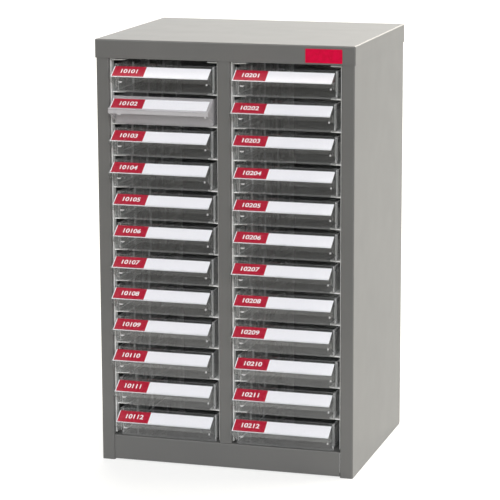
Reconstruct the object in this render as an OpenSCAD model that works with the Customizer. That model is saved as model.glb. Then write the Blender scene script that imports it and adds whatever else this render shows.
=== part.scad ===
// Parts cabinet: a folded steel case with two columns of clear moulded drawers.
// Millimetres, +Z up, the drawers open towards -Y. The origin is on the table, under the
// middle of the whole object's length and width.

/* [Cabinet] */
// Width over the lid
cabinet_w = 277; // [240:1:340]
// Depth over the lid
cabinet_d = 222; // [216:1:300]
// Rows of drawers in each column
rows = 12; // [4:1:12]
// Height from one row's runner to the next
row_pitch = 33.4; // [32.6:0.1:40]
// Height of the front rail's top, where the lowest drawers rest
rail_h = 27.7; // [20:0.1:40]
// Free height between the top row's space and the lid's skirt
head_gap = 2; // [1:0.5:8]
// Height of the lid's skirt, which is the front's top rail
skirt_h = 19.5; // [12:0.5:30]

/* [Sheet metal] */
// Thickness of the painted sheet
sheet_t = 0.8; // [0.6:0.1:1.2]
// Inside radius of each bend
bend_r = 0.8; // [0.5:0.1:1.5]
// Width of the stiles and the centre post
stile_w = 13.8; // [10:0.1:20]
// Depth of the stiles' returns into the case
return_d = 12; // [8:1:16]
// Gap between pieces that slip into each other
slip_gap = 0.2; // [0.1:0.05:0.4]
// Depth of the flanges along hidden edges
flange_d = 14; // [10:1:20]

/* [Runners] */
// Thickness of the plated runner sheet
runner_t = 1.2; // [0.8:0.1:1.5]
// Distance from the opening's edge to the runner sheet's inner face
web_inset = 1.3; // [1.3:0.1:5]
// Width of the tabs that the drawers slide on
tab_w = 12.6; // [10:0.1:16]
// Slant of each tab's front edge
tab_lead = 2.5; // [0:0.5:4]

/* [Drawer] */
// Length of the tray behind its label plate
tray_l = 200; // [160:1:200]
// Height of the tray's walls
tray_h = 28.4; // [24:0.1:28.6]
// Wall thickness of the tray
wall_t = 1.6; // [1.2:0.1:2]
// Thickness of the tray's floor
floor_t = 1.8; // [1.2:0.1:2.4]
// Radius of the tray's outer corners
corner_r = 2.6; // [2:0.1:4]
// Free space at each side of a tray
side_play = 3.5; // [2:0.1:4.5]
// Gap under a tray in its nominal place
seat_gap = 0.2; // [0.1:0.05:0.3]
// How far every drawer stands open
drawer_open = 0; // [0:5:150]

/* [Label plate] */
// Width of the plate
plate_w = 108; // [90:0.5:108]
// Length of the plate up its slope
plate_l = 21; // [16:0.5:21]
// Slope of the plate
plate_slope = 33.5; // [25:0.1:45]
// Height of the finger lip
lip_h = 3.4; // [2:0.1:6]
// Width of the red printed tag at the card's left end
tag_w = 34; // [20:1:50]

/* [Badge] */
// Width of the badge
badge_w = 38.4; // [20:0.1:60]
// Height of the badge
badge_h = 14.2; // [8:0.1:17]
// Distance from the badge to the case's right edge
badge_inset = 12.4; // [5:0.1:60]

/* [Hidden] */
$fn = 40;
bend = bend_r + sheet_t;
proud = sheet_t + slip_gap;
body_w = cabinet_w - 2 * proud;
body_d = cabinet_d - 2 * proud;
opening_w = (body_w - 3 * stile_w) / 2;
opening_top = rail_h + rows * row_pitch + head_gap;
cabinet_h = opening_top + skirt_h;
lid_under = cabinet_h - sheet_t;
panel_top = lid_under - 0.6;
column_x = (stile_w + opening_w) / 2;
plinth_gap = 1;

// Reach of a drawer's label plate in front of the stiles, which sets where the middle is.
tray_front = 3;
slot_t = 0.8;
keeper_t = 0.5;
nose = plate_l * cos(plate_slope) + (slot_t + keeper_t) * sin(plate_slope) - tray_front;
face_y = (nose - body_d - proud) / 2;

web_x = opening_w / 2 - web_inset;
web_front = 4.5;
web_h = opening_top + skirt_h / 2 - rail_h;
tab_front = 8;
stop_w = 10;
window_end = 12;

tray_w = opening_w - 2 * web_inset - 2 * side_play;
stop_y = tray_front + tray_l + 0.6;
card_t = 0.4;
seat_t = 1.4;
keeper_front = 1.2;
keeper_top = 3.2;
keeper_lap = 1;
card_margin_l = 1;
card_margin_r = 3;
rib_t = 1;
rib_gap = 1.6;
nib_r = 2.8;
nib_x = 12;

// Loose drawers don't stand quite in the middle of their rows. Each has a share, from -1 on
// the left to 1 on the right, of the furthest that one stands off. Rows count from the top.
max_sway = 1.5;
sway = [
    [0.9, -0.3, -0.3, -1, 0.9, 0.9, -0.6, -1, -0.4, -1, 0.3, 0.9],
    [0.5, -0.6, 0.3, 0.9, 0.4, 0.5, -1, 0.2, -0.9, 1, -0.4, -1]
];
SIDES = ["left", "right"];

function two_digits(n) = n < 10 ? str("0", n) : str(n);
function tray_name(side, row) = str("tray_", SIDES[side], "_", two_digits(row));
function card_name(side, row) = str("card_", SIDES[side], "_", two_digits(row));
function row_z(row) = rail_h + (rows - row) * row_pitch;

// ---------- shared shapes ----------

// Edge view of a folded sheet, drawn from the origin along +X with its outer face on y = 0.
// Each step is a flat length and the turn after it: 90 folds to the left, 0 ends the sheet.
module fold(steps, t = sheet_t, i = 0) {
    flat = steps[i][0];
    r = bend_r + t;
    square([flat, t]);
    if (steps[i][1] > 0) {
        translate([flat, r]) intersection() {
            difference() {
                circle(r);
                circle(bend_r);
            }
            translate([0, -r]) square(r);
        }
        translate([flat + r, r]) rotate(90) fold(steps, t, i + 1);
    }
}

// Turns a shape drawn in Y and Z into a bar along X, centred on the middle.
module along_x(length) {
    translate([-length / 2, 0, 0]) rotate([90, 0, 90]) linear_extrude(length) children();
}

// Turns a shape drawn in X and Z into a bar along Y, from y = start to y = end.
module along_y(start, end) {
    translate([0, end, 0]) rotate([90, 0, 0]) linear_extrude(end - start) children();
}

// Rectangle with four round corners, centred on the origin.
module round_rect(w, d, r) {
    square([w, d - 2 * r], center = true);
    square([w - 2 * r, d], center = true);
    for (x = [-1, 1], y = [-1, 1])
        translate([x * (w / 2 - r), y * (d / 2 - r)]) circle(r);
}

// Rectangle on y = 0 whose two lower corners are round.
module round_foot(w, h, r) {
    translate([-w / 2, r]) square([w, h - r]);
    translate([-w / 2 + r, 0]) square([w - 2 * r, r + 0.1]);
    for (x = [-1, 1])
        translate([x * (w / 2 - r), r]) circle(r);
}

// Rectangle under y = 0 whose two upper corners are round.
module round_head(w, h, r) {
    mirror([0, 1]) round_foot(w, h, r);
}

// Puts a piece drawn from the case's front plane into its place.
module in_case() {
    translate([0, face_y, 0]) children();
}

// Puts a piece drawn about a column's middle into its column, 0 left or 1 right.
module in_column(side) {
    in_case() translate([(side == 0 ? -1 : 1) * column_x, 0, 0]) children();
}

// ---------- case ----------

// Block under z = 0 with round top and upright edges.
module cap_block(w, d, h, r) {
    intersection() {
        translate([0, 0, -h]) linear_extrude(h) round_rect(w, d, r);
        along_y(-d / 2, d / 2) round_head(w, h, r);
        along_x(w) round_head(d, h, r);
    }
}

module lid() {
    color([0.6, 0.59, 0.57]) in_case() translate([0, body_d / 2, cabinet_h]) difference() {
        cap_block(cabinet_w, cabinet_d, skirt_h, bend);
        translate([0, 0, -sheet_t])
            cap_block(cabinet_w - 2 * sheet_t, cabinet_d - 2 * sheet_t, skirt_h, bend_r);
    }
}

rivet_r = 1.6;
rivet_x = body_w / 2 - flange_d / 2;
rivets_a_side = 4;

// Points of the rivets on one side of the back.
module at_rivets() {
    for (i = [0:rivets_a_side - 1])
        translate([rivet_x, body_d, cabinet_h * (i + 0.5) / rivets_a_side])
            rotate([90, 0, 0]) children();
}

// Right side panel: stile return, stile, side and back flange are one folded sheet.
module side_panel() {
    side_d = body_d - sheet_t;
    color([0.45, 0.45, 0.44]) difference() {
        union() {
            linear_extrude(panel_top) translate([body_w / 2 - stile_w, return_d]) rotate(-90)
                fold([
                    [return_d - bend, 90],
                    [stile_w - 2 * bend, 90],
                    [side_d - 2 * bend, 90],
                    [flange_d - bend, 0]
                ]);
            translate([body_w / 2 - flange_d, flange_d, 0])
                cube([flange_d - sheet_t / 2, side_d - 2 * flange_d, sheet_t]);
        }
        at_rivets() cylinder(r = rivet_r, h = 4 * sheet_t, center = true);
    }
}

module right_side_panel() {
    in_case() side_panel();
}

module left_side_panel() {
    in_case() mirror([1, 0, 0]) side_panel();
}

module back_panel() {
    w = body_w - 2 * slip_gap;
    color([0.45, 0.45, 0.44]) in_case() difference() {
        translate([-w / 2, body_d - sheet_t, plinth_gap])
            cube([w, sheet_t, panel_top - plinth_gap]);
        for (side = [0:1])
            mirror([side, 0, 0]) at_rivets() cylinder(r = rivet_r, h = 4 * sheet_t, center = true);
    }
}

// Floor under the drawers, folded down at the front into the rail and at both sides.
module base_pan() {
    inner_w = body_w - 2 * sheet_t - 2 * slip_gap;
    rail_w = body_w - 2 * stile_w - 2 * slip_gap;
    rail_y = 0.4;
    lap_y = flange_d + 6;
    color([0.42, 0.42, 0.41]) in_case() {
        along_x(rail_w) translate([lap_y, rail_h]) rotate(180)
            fold([
                [lap_y - rail_y - bend, 90],
                [rail_h - plinth_gap - 2 * bend, 90],
                [return_d - bend, 0]
            ]);
        along_y(flange_d, body_d - 2 * sheet_t - 2.5 * slip_gap)
            translate([inner_w / 2, rail_h - return_d]) rotate(90)
                fold([[return_d - bend, 90], [inner_w - 2 * bend, 90], [return_d - bend, 0]]);
    }
}

// Channel between the columns, from the floor to the lid. Its front stops under the lid's bend.
module centre_post() {
    color([0.42, 0.42, 0.41]) in_case() difference() {
        translate([0, 0, rail_h]) linear_extrude(lid_under - rail_h)
            translate([-stile_w / 2, return_d]) rotate(-90)
                fold([[return_d - bend, 90], [stile_w - 2 * bend, 90], [return_d - bend, 0]]);
        translate([-stile_w, -1, panel_top]) cube([2 * stile_w, 1 + bend, 2]);
    }
}

module badge_plate() {
    x = body_w / 2 - badge_inset - badge_w / 2;
    z = opening_top + skirt_h / 2 - 1;
    color([0.78, 0.05, 0.22]) in_case() translate([x, -proud, z])
        rotate([90, 0, 0]) linear_extrude(0.5) round_rect(badge_w, badge_h, 0.8);
}

// Blind rivets that hold the back panel to the side panels' flanges.
module back_rivets() {
    color([0.7, 0.7, 0.7]) in_case() for (side = [0:1]) mirror([side, 0, 0])
        at_rivets() rotate_extrude() polygon([
            [0, -0.9], [1.4, -0.8], [2.6, -0.5], [3.1, 0], [rivet_r - 0.03, 0],
            [rivet_r - 0.03, 2 * sheet_t], [2.2, 2 * sheet_t], [1.9, 2 * sheet_t + 1.6],
            [0, 2 * sheet_t + 2]
        ]);
}

// ---------- runners ----------

// One tab seen from above, from the runner sheet's outer face inwards.
module tab_outline() {
    inner = runner_t + tab_w;
    polygon([[0, 0], [inner - 1, tab_lead], [inner, tab_lead + 1], [inner, stop_y - tab_front],
        [0, stop_y - tab_front]]);
}

// Runner of a column's left side: a sheet with a foot, a head and a back stop. Its tabs are
// lanced out of it and bent inwards, which leaves a window under each tab. A drawer slides on
// one pair of tabs, with its back held down by the pair above.
module runner() {
    r = bend_r + runner_t;
    foot_w = 8;
    color([0.82, 0.83, 0.82]) difference() {
        union() {
            translate([0, 0, rail_h]) along_y(flange_d, stop_y)
                translate([-web_x - foot_w, 0])
                    fold([[foot_w - r, 90], [web_h - 2 * r, 90], [foot_w - r, 0]], runner_t);
            translate([-web_x - runner_t, web_front, rail_h + r])
                cube([runner_t, stop_y - web_front, web_h - 2 * r]);
            translate([-web_x - runner_t, stop_y, rail_h + r])
                cube([runner_t + stop_w, runner_t, web_h - 2 * r]);
            for (row = [0:rows - 1])
                translate([-web_x - runner_t, tab_front, row_z(row) - runner_t])
                    linear_extrude(runner_t) tab_outline();
        }
        for (row = [0:rows - 1])
            translate([-web_x - 2 * runner_t, window_end, row_z(row) - runner_t - tab_w])
                cube([3 * runner_t, stop_y - 2 * window_end, tab_w]);
    }
}

module left_column_left_runner() {
    in_column(0) runner();
}

module left_column_right_runner() {
    in_column(0) mirror([1, 0, 0]) runner();
}

module right_column_left_runner() {
    in_column(1) runner();
}

module right_column_right_runner() {
    in_column(1) mirror([1, 0, 0]) runner();
}

// ---------- drawers ----------

// Puts a piece drawn from the middle of a tray's underside into its row.
module in_row(side, row) {
    in_column(side)
        translate([max_sway * sway[side][row - 1], -drawer_open, row_z(row) + seat_gap])
            children();
}

// Tub from y = 0 back, with round upright corners and round lower side edges.
module tub_block(w, l, h, r) {
    intersection() {
        translate([0, l / 2, 0]) linear_extrude(h) round_rect(w, l, r);
        along_y(0, l) round_foot(w, h, r);
    }
}

// Ribs that hold a loose divider, in pairs at each quarter of the tray's length.
module divider_ribs() {
    inner_w = tray_w - 2 * wall_t;
    for (quarter = [1:3], edge = [-1, 1], side = [-1, 1])
        translate([side * (inner_w - rib_t) / 2 - rib_t / 2,
            quarter * tray_l / 4 + edge * (rib_t + rib_gap) / 2 - rib_t / 2, floor_t - 0.2])
            cube([rib_t, rib_t, tray_h - floor_t - 3]);
}

// Places a shape drawn along the plate's slope, with x up the slope and y out of the card.
module on_slope() {
    top_y = tray_front - plate_l * cos(plate_slope);
    top_z = tray_h - plate_l * sin(plate_slope);
    translate([top_y, top_z]) rotate(plate_slope) children();
}

// Side view of the plate: a seat for the card and the keepers along its two edges.
module plate_profile() {
    out = slot_t + keeper_t;
    polygon([
        [0, -seat_t], [plate_l, -seat_t], [plate_l, out],
        [plate_l - keeper_top - keeper_lap, out], [plate_l - keeper_top - keeper_lap, slot_t],
        [plate_l - keeper_top, slot_t], [plate_l - keeper_top, 0],
        [keeper_front, 0], [keeper_front, slot_t],
        [keeper_front + keeper_lap, slot_t], [keeper_front + keeper_lap, out], [0, out]
    ]);
}

// Side view of the finger lip under the plate's lower edge.
module lip_profile() {
    out = slot_t + keeper_t;
    foot_z = tray_h - plate_l * sin(plate_slope);
    translate([-nose, foot_z - lip_h]) square([seat_t, lip_h + out * cos(plate_slope) / 2]);
}

// Side view of the web that braces each end of the plate.
module brace_profile() {
    foot_z = tray_h - plate_l * sin(plate_slope);
    polygon([[-nose + seat_t / 2, foot_z - 1], [-nose + seat_t / 2, foot_z - lip_h],
        [tray_front - 6, 8], [tray_front + 0.4, 4], [tray_front + 0.4, tray_h - 0.5]]);
}

// Small moulded nib and card stop that hang from the finger lip.
module lip_marks() {
    foot_z = tray_h - plate_l * sin(plate_slope) - lip_h;
    intersection() {
        translate([-plate_w / 2 + nib_x, -nose, foot_z + nib_r * 0.45]) rotate([-90, 0, 0])
            cylinder(r = nib_r, h = seat_t);
        translate([-plate_w / 2, -nose, foot_z - nib_r])
            cube([2 * nib_x, seat_t, nib_r + 0.5]);
    }
    translate([plate_w / 2 - card_margin_r - 1, -nose, foot_z - 1.8])
        cube([1.4, seat_t, lip_h + 1]);
}

module tray() {
    color([0.8, 0.84, 0.85, 0.5]) {
        difference() {
            translate([0, tray_front, 0]) tub_block(tray_w, tray_l, tray_h, corner_r);
            translate([0, tray_front + wall_t, floor_t])
                tub_block(tray_w - 2 * wall_t, tray_l - 2 * wall_t, tray_h, corner_r - wall_t);
        }
        translate([0, tray_front, 0]) divider_ribs();
        along_x(plate_w) {
            on_slope() plate_profile();
            lip_profile();
        }
        for (side = [-1, 1])
            translate([side * (plate_w - seat_t) / 2, 0, 0]) along_x(seat_t) brace_profile();
        lip_marks();
    }
}

// Printed card in the label plate: white paper with a red tag at its left end.
module card() {
    card_w = plate_w - card_margin_l - card_margin_r;
    card_x = (card_margin_l - card_margin_r) / 2;
    low = keeper_front + 0.1;
    high = plate_l - keeper_top - 0.1;
    tag_low = low + 0.8;
    color([0.93, 0.93, 0.95]) translate([card_x, 0, 0]) along_x(card_w) on_slope()
        translate([low, 0.05]) square([high - low, card_t]);
    color([0.68, 0.1, 0.2]) translate([card_x - card_w / 2 + 1 + tag_w / 2, 0, 0])
        along_x(tag_w) on_slope()
            translate([tag_low, 0.05 + card_t]) square([high - tag_low, 0.15]);
}

// ---------- pieces ----------

lid();
left_side_panel();
right_side_panel();
back_panel();
base_pan();
centre_post();
left_column_left_runner();
left_column_right_runner();
right_column_left_runner();
right_column_right_runner();
badge_plate();
back_rivets();
for (side = [0:1], row = [1:rows]) {
    in_row(side, row) tray();
    in_row(side, row) card();
}
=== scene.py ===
"""Looks of a desktop parts cabinet with clear drawers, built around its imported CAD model.

Lengths are metres in the CAD model's frame: +Z is up, the drawers open towards -Y, and the origin
lies on the table under the middle of the cabinet.
"""

import logging
import math
from dataclasses import dataclass
from enum import Enum
from typing import Any, Union

import bmesh
import bpy
from mathutils import Matrix, Vector


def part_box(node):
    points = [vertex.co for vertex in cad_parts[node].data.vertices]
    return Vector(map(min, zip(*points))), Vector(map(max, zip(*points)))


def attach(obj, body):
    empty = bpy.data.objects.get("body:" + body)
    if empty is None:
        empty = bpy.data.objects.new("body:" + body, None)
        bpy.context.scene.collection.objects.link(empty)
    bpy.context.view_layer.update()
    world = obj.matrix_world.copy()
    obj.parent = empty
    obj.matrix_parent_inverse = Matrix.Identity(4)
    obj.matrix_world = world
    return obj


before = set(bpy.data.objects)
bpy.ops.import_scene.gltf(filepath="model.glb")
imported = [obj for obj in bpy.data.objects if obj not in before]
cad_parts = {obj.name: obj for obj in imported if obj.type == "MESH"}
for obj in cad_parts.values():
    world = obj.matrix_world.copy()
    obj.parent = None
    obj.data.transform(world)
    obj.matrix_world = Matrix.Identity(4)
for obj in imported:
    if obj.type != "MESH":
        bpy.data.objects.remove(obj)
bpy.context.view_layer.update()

LOG = logging.getLogger("cabinet")
MM = 0.001

Span = tuple[float, float]
Triple = tuple[float, float, float]
Colour = Triple
WHITE: Colour = (1.0, 1.0, 1.0)
NOISE_MIDDLE = 0.5


class Side(Enum):
    """Which of the cabinet's two columns, or of a column's two runners."""

    LEFT = "left"
    RIGHT = "right"


class Clarity(Enum):
    """How clear a drawer's plastic is."""

    CLEAR = "clear"
    FROSTED = "frosted"


class Detail(Enum):
    """How many finer layers a cloudy pattern has."""

    SMOOTH = 1.0
    PLAIN = 2.0
    FINE = 3.0


# ---------- shader nodes ----------


class Socket:
    """An output of a shader node, on which sums and products are written as Python."""

    def __init__(self, graph: "Graph", output: bpy.types.NodeSocket) -> None:
        """Wraps an output.

        Args:
            graph: The node tree that the output belongs to.
            output: The output itself.
        """
        self.graph = graph
        self.output = output

    def _math(self, operation: str, first: "Number", second: "Number" = 0.0) -> "Socket":
        """Adds a Math node.

        Args:
            operation: Blender's name of the operation.
            first: The first value or socket.
            second: The second value or socket.

        Returns:
            The node's result.
        """
        return self.graph.add("ShaderNodeMath", {"operation": operation}, {0: first, 1: second})

    def __add__(self, other: "Number") -> "Socket":
        """Returns self + other."""
        return self._math("ADD", self, other)

    def __radd__(self, other: "Number") -> "Socket":
        """Returns other + self."""
        return self._math("ADD", other, self)

    def __sub__(self, other: "Number") -> "Socket":
        """Returns self - other."""
        return self._math("SUBTRACT", self, other)

    def __rsub__(self, other: "Number") -> "Socket":
        """Returns other - self."""
        return self._math("SUBTRACT", other, self)

    def __mul__(self, other: "Number") -> "Socket":
        """Returns self * other."""
        return self._math("MULTIPLY", self, other)

    def __rmul__(self, other: "Number") -> "Socket":
        """Returns other * self."""
        return self._math("MULTIPLY", other, self)

    def __truediv__(self, other: "Number") -> "Socket":
        """Returns self / other."""
        return self._math("DIVIDE", self, other)

    def __rtruediv__(self, other: "Number") -> "Socket":
        """Returns other / self."""
        return self._math("DIVIDE", other, self)

    def __pow__(self, other: "Number") -> "Socket":
        """Returns self to the power of other."""
        return self._math("POWER", self, other)

    def __rpow__(self, other: "Number") -> "Socket":
        """Returns other to the power of self."""
        return self._math("POWER", other, self)

    def __gt__(self, other: "Number") -> "Socket":
        """Returns 1 where self is over other, and 0 elsewhere."""
        return self._math("GREATER_THAN", self, other)

    def __lt__(self, other: "Number") -> "Socket":
        """Returns 1 where self is under other, and 0 elsewhere."""
        return self._math("LESS_THAN", self, other)

    def within(self, low: float, high: float) -> "Socket":
        """Returns 1 where self lies between low and high, and 0 elsewhere."""
        return (self > low) * (self < high)

    def size(self) -> "Socket":
        """Returns self without its sign."""
        return self._math("ABSOLUTE", self)

    def larger(self, other: "Number") -> "Socket":
        """Returns the larger of self and other."""
        return self._math("MAXIMUM", self, other)

    def ramp(self, low: float, high: float, start: float = 0.0, end: float = 1.0) -> "Socket":
        """Maps a span of values smoothly onto another.

        Args:
            low: The value that becomes start.
            high: The value that becomes end.
            start: The result at and before low.
            end: The result at and after high.

        Returns:
            The mapped value.
        """
        return self.graph.add(
            "ShaderNodeMapRange",
            {"interpolation_type": "SMOOTHSTEP"},
            {"Value": self, "From Min": low, "From Max": high, "To Min": start, "To Max": end},
        )


Number = Union[Socket, float]


class Graph:
    """The node tree of one material or of the world, which is filled from empty."""

    # A Mix node's colour sockets share their names with its number sockets.
    mix_first = 6
    mix_second = 7
    mix_result = 2

    def __init__(self, tree: bpy.types.NodeTree) -> None:
        """Empties the tree.

        Args:
            tree: The node tree to fill.
        """
        self.tree = tree
        tree.nodes.clear()

    def add(
        self,
        kind: str,
        settings: dict[str, Any] | None = None,
        sockets: dict[str | int, Any] | None = None,
        result: str | int = 0,
    ) -> Socket:
        """Adds a node.

        Args:
            kind: The node's type.
            settings: The node's own properties, set first.
            sockets: Values or links of its inputs, by name or number.
            result: The output that is returned, by name or number.

        Returns:
            The output asked for.
        """
        node = self.tree.nodes.new(kind)
        for name, value in (settings or {}).items():
            setattr(node, name, value)
        for name, value in (sockets or {}).items():
            if isinstance(value, Socket):
                self.tree.links.new(value.output, node.inputs[name])
            else:
                node.inputs[name].default_value = value
        return Socket(self, node.outputs[result])

    def place(self) -> Socket:
        """Returns the shaded point in its piece's own metres, which is the CAD frame at rest."""
        return self.add("ShaderNodeTexCoord", {}, {}, "Object")

    def parts(self, point: Socket) -> tuple[Socket, Socket, Socket]:
        """Returns a point's X, Y and Z."""
        return tuple(
            self.add("ShaderNodeSeparateXYZ", {}, {"Vector": point}, name) for name in "XYZ"
        )

    def in_box(self, size: Triple) -> Socket:
        """Returns the shaded point in metres from the lowest corner of its piece's box."""
        return self.stretched(self.add("ShaderNodeTexCoord", {}, {}, "Generated"), size)

    def stretched(self, point: Socket, factors: Triple) -> Socket:
        """Returns a point with its three parts multiplied by factors."""
        return self.add("ShaderNodeVectorMath", {"operation": "MULTIPLY"}, {0: point, 1: factors})

    def noise(self, point: Socket, size: float, detail: Detail = Detail.PLAIN) -> Socket:
        """Adds a cloudy pattern.

        Args:
            point: Where it is read.
            size: About how wide its clouds are, in metres.
            detail: How many finer layers it has.

        Returns:
            Values that lie round NOISE_MIDDLE.
        """
        return self.add(
            "ShaderNodeTexNoise", {}, {"Vector": point, "Scale": 1 / size, "Detail": detail.value}
        )

    def blend(self, share: Number, first: Any, second: Any) -> Socket:
        """Mixes two colours.

        Args:
            share: How much of the second there is, from 0 to 1.
            first: The first colour or socket.
            second: The second colour or socket.

        Returns:
            The mixed colour.
        """
        start, end = (
            colour if isinstance(colour, Socket) else (*colour, 1) for colour in (first, second)
        )
        return self.add(
            "ShaderNodeMix",
            {"data_type": "RGBA"},
            {"Factor": share, self.mix_first: start, self.mix_second: end},
            self.mix_result,
        )

    def bump(self, height: Number, depth: float, strength: float = 1.0) -> Socket:
        """Turns a height pattern into a normal.

        Args:
            height: The pattern, from 0 to 1.
            depth: How deep the pattern is, in metres.
            strength: How much of it is used.

        Returns:
            The normal.
        """
        return self.add(
            "ShaderNodeBump", {}, {"Height": height, "Distance": depth, "Strength": strength}
        )

    def mix_shaders(self, share: Number, first: Socket, second: Socket) -> Socket:
        """Returns a Mix Shader of two shaders, with share of the second."""
        return self.add("ShaderNodeMixShader", {}, {0: share, 1: first, 2: second})

    def show(self, shader: Socket, kind: str = "ShaderNodeOutputMaterial") -> None:
        """Adds the tree's output node and links a shader to its surface.

        Args:
            shader: The finished shader.
            kind: The output node's type.
        """
        node = self.tree.nodes.new(kind)
        self.tree.links.new(shader.output, node.inputs["Surface"])


class Finish:
    """A procedural material, made once and shared by every piece that has it."""

    name: str = "finish"

    def paint(self, graph: Graph) -> Socket:
        """Builds the finish's shader.

        Args:
            graph: The empty node tree to build it in.

        Returns:
            The shader.
        """
        raise NotImplementedError

    def material(self) -> bpy.types.Material:
        """Makes the material.

        Returns:
            The new material.
        """
        made = bpy.data.materials.new(self.name)
        made.use_nodes = True
        graph = Graph(made.node_tree)
        graph.show(self.paint(graph))
        return made


# ---------- finishes ----------


@dataclass(frozen=True)
class PaintedSteel(Finish):
    """Grey stoved enamel with a fine orange-peel skin."""

    name: str = "painted_steel"
    colour: Colour = (0.103, 0.103, 0.101)
    faded: Colour = (0.116, 0.115, 0.112)
    cloud_size: float = 0.09
    cloud_weight: float = 0.9
    peel_size: float = 0.0016
    peel_depth: float = 0.000012
    noise_span: Span = (0.2, 0.8)
    roughness: float = 0.305
    sheen_size: float = 0.03
    sheen_spread: float = 0.05
    index: float = 1.5

    def paint(self, graph: Graph) -> Socket:
        """Builds the enamel's shader.

        Args:
            graph: The empty node tree to build it in.

        Returns:
            The shader.
        """
        place = graph.place()
        clouds = graph.noise(place, self.cloud_size, Detail.FINE)
        specks = graph.noise(place, self.peel_size, Detail.SMOOTH)
        sheen = graph.noise(place, self.sheen_size, Detail.SMOOTH)
        fading = self.cloud_weight * clouds.ramp(*self.noise_span)
        fading += (1 - self.cloud_weight) * specks.ramp(*self.noise_span)
        return graph.add(
            "ShaderNodeBsdfPrincipled",
            {},
            {
                "Base Color": graph.blend(fading, self.colour, self.faded),
                "Roughness": self.roughness + self.sheen_spread * (sheen - NOISE_MIDDLE),
                "IOR": self.index,
                "Normal": graph.bump(specks, self.peel_depth),
            },
        )


@dataclass(frozen=True)
class ZincPlate(Finish):
    """Bright zinc-plated sheet with a faint rolled grain and cloudy crystals."""

    name: str = "zinc_plate"
    colour: Colour = (0.9, 0.9, 0.89)
    dull: Colour = (0.76, 0.77, 0.77)
    crystal_size: float = 0.006
    crystal_span: Span = (0.1, 0.8)
    cloud_size: float = 0.03
    cloud_span: Span = (0.3, 0.7)
    grain_size: float = 0.0006
    grain_stretch: Triple = (1.0, 0.03, 1.0)
    grain_depth: float = 0.00001
    grain_strength: float = 0.6
    metallic: float = 0.12
    metallic_spread: float = 0.18
    metallic_span: Span = (0.35, 0.65)
    roughness: float = 0.27
    crystal_spread: float = 0.1
    cloud_spread: float = 0.12

    def paint(self, graph: Graph) -> Socket:
        """Builds the plating's shader.

        Args:
            graph: The empty node tree to build it in.

        Returns:
            The shader.
        """
        place = graph.place()
        crystals = graph.add(
            "ShaderNodeTexVoronoi",
            {},
            {"Vector": place, "Scale": 1 / self.crystal_size},
            "Distance",
        )
        grain = graph.noise(graph.stretched(place, self.grain_stretch), self.grain_size)
        cloud = graph.noise(place, self.cloud_size, Detail.FINE)
        dulling = (crystals.ramp(*self.crystal_span) + cloud.ramp(*self.cloud_span)) / 2
        metallic = self.metallic + self.metallic_spread * cloud.ramp(*self.metallic_span)
        roughness = self.roughness + self.crystal_spread * crystals
        roughness += self.cloud_spread * (cloud - NOISE_MIDDLE)
        return graph.add(
            "ShaderNodeBsdfPrincipled",
            {},
            {
                "Base Color": graph.blend(dulling, self.colour, self.dull),
                "Metallic": metallic,
                "Roughness": roughness,
                "Normal": graph.bump(grain, self.grain_depth, self.grain_strength),
            },
        )


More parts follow.
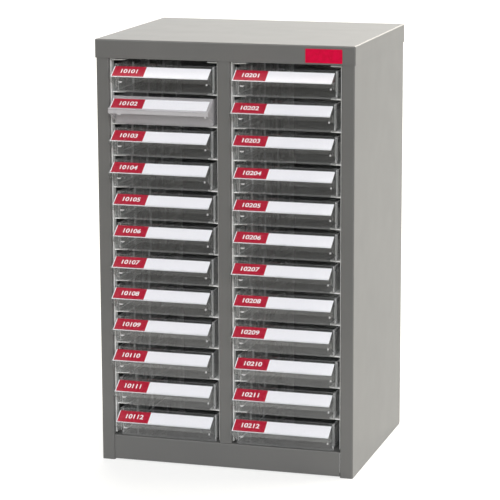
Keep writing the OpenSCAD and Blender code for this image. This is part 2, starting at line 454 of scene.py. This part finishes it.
@dataclass(frozen=True)
class ClearPlastic(Finish):
    """Thin-walled clear polystyrene: see-through, glossy at a glance and slightly scuffed.

    Edges, ribs, side bands and small marks get painted highlights: the plastic is made milky
    there in place of the glints that refraction gives a clear moulding, and it is made milkier
    behind the front wall as a painted lift of the dark inside. They are found by where they lie in
    the tray's box, which starts at the plate's nose in front and at the tray's foot. The _x values
    are distances from the box's middle, and a share is how milky the plastic is there, from 0 to
    1.
    """

    size: Triple
    name: str = "clear_plastic"
    tint: Colour = (0.982, 0.988, 0.986)
    haze: Colour = (0.78, 0.78, 0.79)
    haze_share: float = 0.016
    # Milkier plastic behind the front wall: a painted lift of the dark inside.
    inside_share: float = 0.16
    translucency: float = 0.35
    gloss: float = 0.05
    glance_power: float = 5.0
    roughness: float = 0.04
    scuff_size: float = 0.0015
    scuff_stretch: Triple = (1.0, 0.15, 1.0)
    scuff_share: float = 0.04
    scuff_share_span: Span = (0.5, 0.75)
    scuff_roughness: float = 0.06
    scuff_roughness_span: Span = (0.5, 0.8)
    wave_size: float = 0.03
    wave_depth: float = 0.0002
    # Painted highlights: milky shares in place of the glints of edges, ribs, lip and side bands.
    corner_share: float = 0.34
    foot_share: float = 0.16
    rim_share: float = 0.4
    rib_share: float = 0.8
    mark_share: float = 0.6
    band_share: float = 0.42
    wall_x: Span = (51.98 * MM, 53.7 * MM)
    rib_x: Span = (50.9 * MM, 51.98 * MM)
    front_wall_y: Span = (17.5 * MM, 19 * MM)
    lip_y: float = 1.5 * MM
    lip_foot: float = 13.3 * MM
    floor_z: float = 1.9 * MM
    rim_z: float = 28.2 * MM
    inside_y: float = 22 * MM
    # Side-wall bands where a painted highlight is laid, by their start and width.
    bands_y: tuple[float, ...] = (46 * MM, 96 * MM, 148 * MM)
    band_width: float = 8 * MM

    def paint(self, graph: Graph) -> Socket:
        """Builds the plastic's shader.

        Args:
            graph: The empty node tree to build it in.

        Returns:
            The shader.
        """
        place = graph.place()
        waves = graph.noise(place, self.wave_size)
        along_scuffs = graph.stretched(place, self.scuff_stretch)
        scuffs = graph.noise(along_scuffs, self.scuff_size, Detail.FINE)
        normal = graph.bump(waves, self.wave_depth)
        clear = graph.add("ShaderNodeBsdfTransparent", {}, {"Color": (*self.tint, 1)})
        body = graph.add("ShaderNodeBsdfDiffuse", {}, {"Color": (*self.haze, 1)})
        through = graph.add("ShaderNodeBsdfTranslucent", {}, {"Color": (*self.haze, 1)})
        milk = graph.mix_shaders(self.translucency, body, through)
        haze = self.haze_share + self.scuff_share * scuffs.ramp(*self.scuff_share_span)
        # The milky shader shows the real haze and scuffs, and also painted highlights and a
        # painted lift.
        haze_and_painted_light = graph.mix_shaders(haze.larger(self._light_catchers(graph)), clear, milk)
        worn = scuffs.ramp(*self.scuff_roughness_span)
        roughness = self.roughness + self.scuff_roughness * worn
        shine = graph.add("ShaderNodeBsdfGlossy", {}, {"Roughness": roughness, "Normal": normal})
        glance = graph.add("ShaderNodeLayerWeight", {}, {"Normal": normal}, "Facing")
        glossy = self.gloss + (1 - self.gloss) * glance**self.glance_power
        return graph.mix_shaders(glossy, haze_and_painted_light, shine)

    def _light_catchers(self, graph: Graph) -> Socket:
        """Finds where highlights and a lift of shade are painted as milky plastic.

        Args:
            graph: The node tree to build it in.

        Returns:
            The milky share of the painted highlights on edges, ribs, side bands and marks and of
            the painted lift inside, and 0 elsewhere.
        """
        across, along, up = graph.parts(graph.in_box(self.size))
        off_middle = (across - self.size[0] / 2).size()
        behind = along > self.front_wall_y[1]
        # Painted highlight on the ribs.
        ribs = off_middle.within(*self.rib_x) * behind * (up > self.floor_z)
        front = along.within(*self.front_wall_y)
        # Painted highlights on the front corners, the foot and the rim.
        corners = front * off_middle.within(*self.wall_x)
        foot = front * (up < self.floor_z)
        rim = behind * (up > self.rim_z)
        # Painted highlight on the lip's front strip under the tag.
        marks = (along < self.lip_y) * (up < self.lip_foot)
        side_wall = behind * (off_middle > self.wall_x[0])
        # Painted highlight bands on the side walls.
        highlight_bands = [along.within(start, start + self.band_width) for start in self.bands_y]
        shares = (
            # Painted lift of the shade behind the front wall.
            (along > self.inside_y, self.inside_share),
            (side_wall * sum(highlight_bands), self.band_share),
            (corners, self.corner_share),
            (foot, self.foot_share),
            (rim, self.rim_share),
            (marks, self.mark_share),
        )
        painted_share = ribs * self.rib_share
        for place, share in shares:
            painted_share = painted_share.larger(place * share)
        return painted_share


@dataclass(frozen=True)
class FrostedPlastic(ClearPlastic):
    """A drawer of the same mould, drawn paler and milkier than the others."""

    name: str = "frosted_plastic"
    haze: Colour = (0.74, 0.725, 0.75)
    haze_share: float = 0.42
    roughness: float = 0.15


@dataclass(frozen=True)
class PrintedCard(Finish):
    """White card whose raised tag is printed red."""

    size: Triple
    facing: Triple
    tag_height: float
    name: str = "printed_card"
    paper: Colour = (0.82, 0.82, 0.86)
    shade: Colour = (0.77, 0.77, 0.81)
    ink: Colour = (0.38, 0.006, 0.026)
    thin_ink: Colour = (0.44, 0.022, 0.05)
    fibre_size: float = 0.0009
    fibre_span: Span = (0.35, 0.7)
    fibre_depth: float = 0.00004
    fibre_strength: float = 0.5
    mottle_size: float = 0.0027
    mottle_span: Span = (0.35, 0.75)
    roughness: float = 0.62
    ink_roughness: float = 0.32

    def paint(self, graph: Graph) -> Socket:
        """Builds the card's shader.

        Args:
            graph: The empty node tree to build it in.

        Returns:
            The shader.
        """
        place = graph.place()
        lift = graph.add(
            "ShaderNodeVectorMath",
            {"operation": "DOT_PRODUCT"},
            {0: graph.in_box(self.size), 1: self.facing},
            "Value",
        )
        is_tag = lift > self.tag_height
        fibres = graph.noise(place, self.fibre_size, Detail.FINE)
        mottle = graph.noise(place, self.mottle_size)
        paper = graph.blend(fibres.ramp(*self.fibre_span), self.paper, self.shade)
        ink = graph.blend(mottle.ramp(*self.mottle_span), self.ink, self.thin_ink)
        return graph.add(
            "ShaderNodeBsdfPrincipled",
            {},
            {
                "Base Color": graph.blend(is_tag, paper, ink),
                "Roughness": self.roughness - is_tag * (self.roughness - self.ink_roughness),
                "Normal": graph.bump(fibres, self.fibre_depth, self.fibre_strength),
            },
        )


@dataclass(frozen=True)
class WhiteInk(Finish):
    """White print on the red tags."""

    name: str = "white_ink"
    colour: Colour = (0.86, 0.84, 0.85)
    worn: Colour = (0.76, 0.66, 0.68)
    wear_size: float = 0.0012
    wear_span: Span = (0.45, 0.75)
    roughness: float = 0.4
    wear_spread: float = 0.1

    def paint(self, graph: Graph) -> Socket:
        """Builds the ink's shader.

        Args:
            graph: The empty node tree to build it in.

        Returns:
            The shader.
        """
        wear = graph.noise(graph.place(), self.wear_size)
        return graph.add(
            "ShaderNodeBsdfPrincipled",
            {},
            {
                "Base Color": graph.blend(wear.ramp(*self.wear_span), self.colour, self.worn),
                "Roughness": self.roughness + self.wear_spread * wear,
            },
        )


@dataclass(frozen=True)
class BadgeEnamel(Finish):
    """Glossy red plastic with a very faint grain."""

    name: str = "badge_enamel"
    colour: Colour = (0.52, 0.001, 0.038)
    deep: Colour = (0.45, 0.001, 0.03)
    grain_size: float = 0.004
    grain_span: Span = (0.35, 0.65)
    grain_depth: float = 0.00003
    grain_strength: float = 0.5
    roughness: float = 0.22
    grain_spread: float = 0.08
    index: float = 1.22

    def paint(self, graph: Graph) -> Socket:
        """Builds the badge's shader.

        Args:
            graph: The empty node tree to build it in.

        Returns:
            The shader.
        """
        grain = graph.noise(graph.place(), self.grain_size, Detail.FINE)
        return graph.add(
            "ShaderNodeBsdfPrincipled",
            {},
            {
                "Base Color": graph.blend(grain.ramp(*self.grain_span), self.colour, self.deep),
                "Roughness": self.roughness + self.grain_spread * grain,
                "IOR": self.index,
                "Normal": graph.bump(grain, self.grain_depth, self.grain_strength),
            },
        )


@dataclass(frozen=True)
class SpunAluminium(Finish):
    """Satin aluminium of the blind rivets."""

    name: str = "spun_aluminium"
    colour: Colour = (0.72, 0.72, 0.73)
    dull: Colour = (0.5, 0.5, 0.51)
    mark_size: float = 0.0008
    mark_span: Span = (0.3, 0.7)
    mark_depth: float = 0.00002
    mark_strength: float = 0.5
    roughness: float = 0.3
    mark_spread: float = 0.2

    def paint(self, graph: Graph) -> Socket:
        """Builds the rivets' shader.

        Args:
            graph: The empty node tree to build it in.

        Returns:
            The shader.
        """
        marks = graph.noise(graph.place(), self.mark_size, Detail.FINE)
        return graph.add(
            "ShaderNodeBsdfPrincipled",
            {},
            {
                "Base Color": graph.blend(marks.ramp(*self.mark_span), self.colour, self.dull),
                "Metallic": 1.0,
                "Roughness": self.roughness + self.mark_spread * marks,
                "Normal": graph.bump(marks, self.mark_depth, self.mark_strength),
            },
        )


# ---------- the object ----------


def dress(node: str, material: bpy.types.Material) -> None:
    """Gives a CAD node a material.

    Args:
        node: The node's name.
        material: Its new material.
    """
    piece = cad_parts[node]
    piece.data.materials.clear()
    piece.data.materials.append(material)
    LOG.info("%s is dressed in %s", node, material.name)


@dataclass
class Case:
    """The folded steel case with its badge and rivets."""

    sheets: tuple[str, ...] = (
        "lid",
        "left_side_panel",
        "right_side_panel",
        "back_panel",
        "base_pan",
        "centre_post",
    )
    badge: str = "badge_plate"
    rivets: str = "back_rivets"

    def build(self) -> None:
        """Dresses every piece of the case."""
        steel = PaintedSteel().material()
        for sheet in self.sheets:
            dress(sheet, steel)
        dress(self.badge, BadgeEnamel().material())
        dress(self.rivets, SpunAluminium().material())


@dataclass
class Runners:
    """The four plated runners that the drawers slide on."""

    sides: tuple[Side, ...] = tuple(Side)

    def build(self) -> None:
        """Dresses every runner."""
        zinc = ZincPlate().material()
        for column in self.sides:
            for hand in self.sides:
                dress(f"{column.value}_column_{hand.value}_runner", zinc)


@dataclass
class Drawers:
    """Both columns of drawers: clear trays with printed cards and a plain number on each tag.

    A tag's centre is measured from its card's left end, and its middle is a share of the card's
    box. The inked share of its raise is red. A digit's height is the digit share of its font's
    size.
    """

    rows: int = 12
    # One drawer is drawn paler and milkier than the rest.
    frosted: tuple[str, ...] = ("tray_left_02",)
    slope: float = math.radians(33.5)
    tag_raise: float = 0.15 * MM
    inked_share: float = 0.7
    tag_centre: float = 18 * MM
    tag_middle: float = 0.52
    digit_height: float = 5.8 * MM
    digit_share: float = 0.7
    digit_raise: float = 0.05 * MM
    digit_boldness: float = 0.18 * MM
    first_number: int = 10101
    column_step: int = 100

    def build(self) -> None:
        """Dresses the trays and cards, and prints a number on each tag."""
        low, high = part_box("tray_left_01")
        size = tuple(high - low)
        plastics = {
            Clarity.CLEAR: ClearPlastic(size).material(),
            Clarity.FROSTED: FrostedPlastic(size).material(),
        }
        card = self._card_finish().material()
        ink = WhiteInk().material()
        for column, side in enumerate(Side):
            for row in range(self.rows):
                place = f"{side.value}_{row + 1:02d}"
                tray = f"tray_{place}"
                clarity = Clarity.FROSTED if tray in self.frosted else Clarity.CLEAR
                dress(tray, plastics[clarity])
                dress(f"card_{place}", card)
                self._print_number(place, self.first_number + self.column_step * column + row, ink)

    def _card_finish(self) -> PrintedCard:
        """Reads the card's size and its tag's height from the CAD.

        Returns:
            The finish of every card.
        """
        low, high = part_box("card_left_01")
        facing = self._facing()
        face = self._card_face("card_left_01") - low.dot(facing)
        tag_height = face - self.inked_share * self.tag_raise
        return PrintedCard(tuple(high - low), tuple(facing), tag_height)

    def _card_face(self, card: str) -> float:
        """Returns how far out a card's tag reaches, measured along the way the cards face."""
        facing = self._facing()
        return max(vertex.co.dot(facing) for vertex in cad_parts[card].data.vertices)

    def _facing(self) -> Vector:
        """Returns the direction that the cards face."""
        return Vector((0, -math.sin(self.slope), math.cos(self.slope)))

    def _print_number(self, place: str, number: int, ink: bpy.types.Material) -> None:
        """Prints a drawer's plain number on its tag.

        Args:
            place: The drawer's column and row, as in its nodes' names.
            number: The number to print.
            ink: The print's material.
        """
        low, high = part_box(f"card_{place}")
        middle = low.lerp(high, self.tag_middle)
        middle.x = low.x + self.tag_centre
        facing = self._facing()
        face = self._card_face(f"card_{place}")
        middle += facing * (face - middle.dot(facing) + self.digit_raise)
        shape = self._digits(number)
        shape.transform(Matrix.Translation(middle) @ Matrix.Rotation(self.slope, 4, "X"))
        shape.materials.clear()
        shape.materials.append(ink)
        piece = bpy.data.objects.new(f"number_{place}", shape)
        bpy.context.scene.collection.objects.link(piece)
        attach(piece, f"drawer_{place}")
        LOG.info("%s reads %d", piece.name, number)

    def _digits(self, number: int) -> bpy.types.Mesh:
        """Makes a number's flat digits, centred on the origin and facing up.

        Args:
            number: The number to write.

        Returns:
            The digits' mesh.
        """
        text = bpy.data.curves.new(f"digits_{number}", "FONT")
        text.body = str(number)
        text.size = self.digit_height / self.digit_share
        text.align_x = "CENTER"
        text.align_y = "CENTER"
        text.offset = self.digit_boldness
        writing = bpy.data.objects.new(f"digits_{number}", text)
        bpy.context.scene.collection.objects.link(writing)
        bpy.context.view_layer.update()
        shape = bpy.data.meshes.new_from_object(writing)
        bpy.data.objects.remove(writing)
        return shape


# ---------- the studio ----------


@dataclass(frozen=True)
class Lamp:
    """A far lamp: its strength is how bright a white sheet that faces it looks.

    Its softness is how wide it looks, in degrees.
    """

    name: str
    strength: float
    towards: Triple
    softness: float
    tint: Colour = WHITE

    def hang(self) -> None:
        """Adds the lamp to the scene."""
        light = bpy.data.lights.new(self.name, "SUN")
        light.energy = math.pi * self.strength
        light.angle = math.radians(self.softness)
        light.color = self.tint
        holder = bpy.data.objects.new(self.name, light)
        holder.rotation_euler = Vector(self.towards).to_track_quat("Z", "Y").to_euler()
        bpy.context.scene.collection.objects.link(holder)
        LOG.info("%s lamp is hung", self.name)


@dataclass
class Studio:
    """Plain pale floor, white surroundings, four soft lamps and the camera.

    Gloss shows the surroundings in front of the cabinet at front_shade of white. They fade to
    white over floor_fade, which is in metres, and over sky_fade, which is a direction's Y.
    """

    floor_size: float = 30.0
    floor_colour: Colour = (0.38, 0.38, 0.37)
    floor_glow: float = 0.66
    floor_fade: Span = (-1.2, -0.3)
    sky_fade: Span = (-0.85, -0.25)
    sky_light: float = 0.36
    front_shade: float = 0.3
    lamps: tuple[Lamp, ...] = (
        Lamp("key", 0.43, (0.3, -0.75, 0.6), 24.0),
        Lamp("fill", 0.18, (-0.3, -0.86, 0.41), 30.0),
        Lamp("low", 0.41, (0.54, -0.83, 0.14), 50.0),
        Lamp("top", 1.7, (0.25, 0.64, 0.725), 74.0, (1.0, 0.945, 0.83)),
    )
    picture_size: int = 500
    focal_pixels: float = 2307.0
    sensor: float = 36.0
    camera_reach: float = 100.0
    camera_place: Triple = (0.68943, -2.33344, 0.71408)
    yaw: float = 0.28843
    pitch: float = 0.20244
    roll: float = -0.00389

    def build(self) -> None:
        """Makes the floor, the world, the lamps and the camera."""
        self._floor()
        self._world()
        for lamp in self.lamps:
            lamp.hang()
        self._camera()
        bpy.context.scene.view_settings.view_transform = "Standard"

    def _seen(self, graph: Graph, gloss: Number) -> Socket:
        """Finds how bright the surroundings show in the picture, in glass and in gloss.

        Args:
            graph: The node tree to build it in.
            gloss: The share of white that gloss shows.

        Returns:
            1 for rays from the camera or through glass, gloss for reflections, otherwise 0.
        """
        camera, glossy, through = (
            graph.add("ShaderNodeLightPath", {}, {}, f"Is {name} Ray")
            for name in ("Camera", "Glossy", "Transmission")
        )
        return camera.larger(through).larger(glossy * gloss)

    def _floor(self) -> None:
        """Lays the floor, which shows white with a soft shadow and is dimmer in front in gloss."""
        mesh = bpy.data.meshes.new("floor")
        shape = bmesh.new()
        bmesh.ops.create_grid(shape, x_segments=2, y_segments=2, size=self.floor_size / 2)
        shape.to_mesh(mesh)
        shape.free()
        floor = bpy.data.objects.new("floor", mesh)
        bpy.context.scene.collection.objects.link(floor)
        made = bpy.data.materials.new("floor")
        made.use_nodes = True
        graph = Graph(made.node_tree)
        forward = graph.add("ShaderNodeSeparateXYZ", {}, {"Vector": graph.place()}, "Y")
        bright = forward.ramp(*self.floor_fade, self.front_shade, 1.0)
        matt = graph.add("ShaderNodeBsdfDiffuse", {}, {"Color": (*self.floor_colour, 1)})
        glow = graph.add(
            "ShaderNodeEmission",
            {},
            {"Color": (*WHITE, 1), "Strength": self.floor_glow * self._seen(graph, bright)},
        )
        lit = graph.add("ShaderNodeAddShader", {}, {0: matt, 1: glow})
        dark = graph.add("ShaderNodeEmission", {}, {"Color": (*WHITE, 1), "Strength": 0.0})
        in_gloss = graph.add("ShaderNodeLightPath", {}, {}, "Is Glossy Ray")
        graph.show(graph.mix_shaders(in_gloss * (1 - bright), lit, dark))
        mesh.materials.append(made)
        LOG.info("floor is laid")

    def _world(self) -> None:
        """Makes the world white where it shows, dimmer in front, and a plain soft light."""
        world = bpy.data.worlds.new("surroundings")
        world.use_nodes = True
        graph = Graph(world.node_tree)
        towards = graph.add("ShaderNodeTexCoord", {}, {}, "Generated")
        forward = graph.add("ShaderNodeSeparateXYZ", {}, {"Vector": towards}, "Y")
        seen = self._seen(graph, forward.ramp(*self.sky_fade, self.front_shade, 1.0))
        light = graph.add(
            "ShaderNodeBackground",
            {},
            {"Color": (*WHITE, 1), "Strength": seen.larger(self.sky_light)},
        )
        graph.show(light, "ShaderNodeOutputWorld")
        bpy.context.scene.world = world
        LOG.info("surroundings are white")

    def _camera(self) -> None:
        """Stands the camera where the photograph was taken from."""
        lens = bpy.data.cameras.new("camera")
        lens.sensor_width = self.sensor
        lens.lens = self.focal_pixels * self.sensor / self.picture_size
        lens.clip_end = self.camera_reach
        camera = bpy.data.objects.new("camera", lens)
        camera.matrix_world = (
            Matrix.Translation(self.camera_place)
            @ Matrix.Rotation(self.yaw, 4, "Z")
            @ Matrix.Rotation(math.pi / 2 - self.pitch, 4, "X")
            @ Matrix.Rotation(self.roll, 4, "Z")
        )
        bpy.context.scene.collection.objects.link(camera)
        bpy.context.scene.camera = camera
        LOG.info("camera is set")


def main() -> None:
    """Builds the cabinet's looks and the studio round it."""
    logging.basicConfig(level=logging.INFO, format="%(name)s: %(message)s")
    Studio().build()
    Case().build()
    Runners().build()
    Drawers().build()


if __name__ == "__main__":
    main()
